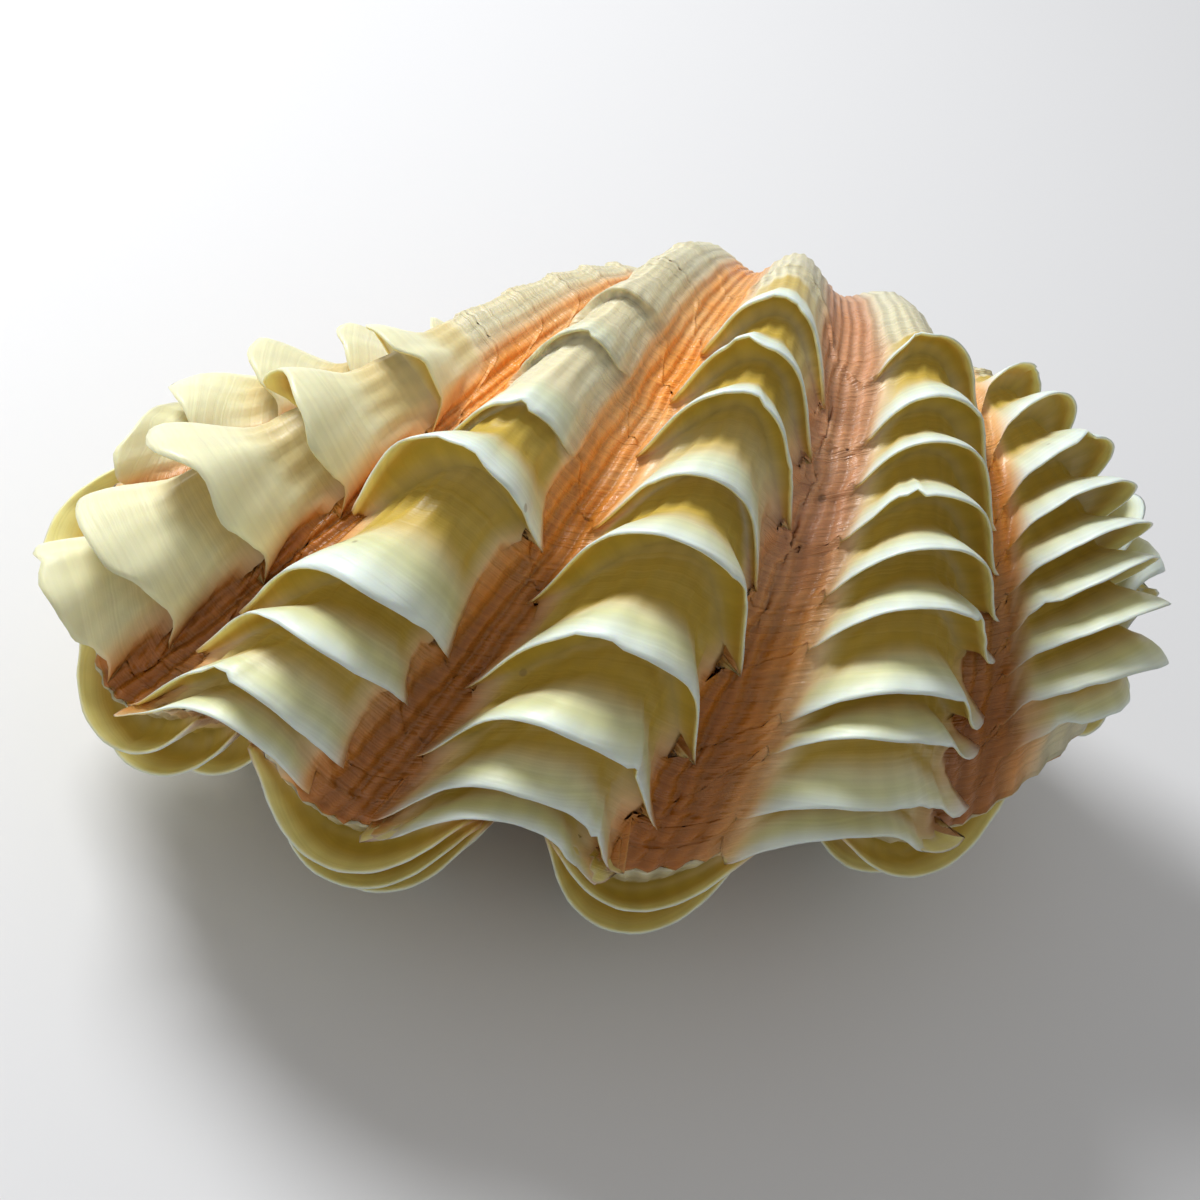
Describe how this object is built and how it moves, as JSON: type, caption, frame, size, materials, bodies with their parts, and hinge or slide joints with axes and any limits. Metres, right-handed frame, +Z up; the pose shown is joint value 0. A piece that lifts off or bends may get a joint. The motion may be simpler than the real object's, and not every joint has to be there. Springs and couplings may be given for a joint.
{
  "type": "giant clam shell",
  "caption": "Closed pair of fluted giant clam valves with radial ribs, leafy scutes and a zigzag margin.",
  "frame": {"origin": "on the surface that the shell rests on, below the middle of its outline", "axes": "+X along the shell's length, +Y towards the hinge, -Y towards the open ventral edge, +Z up through the upper valve"},
  "size_m": [0.221, 0.1216, 0.108],
  "materials": {
    "upper_shell": "satin natural shell, cream ribs and orange grooves",
    "lower_shell": "satin natural shell, cream and tan",
    "ligament": "dry, dull, brown"
  },
  "bodies": {
    "root": {"upper_valve": "upper_shell", "lower_valve": "lower_shell", "ligament": "ligament"}
  },
  "joints": []
}
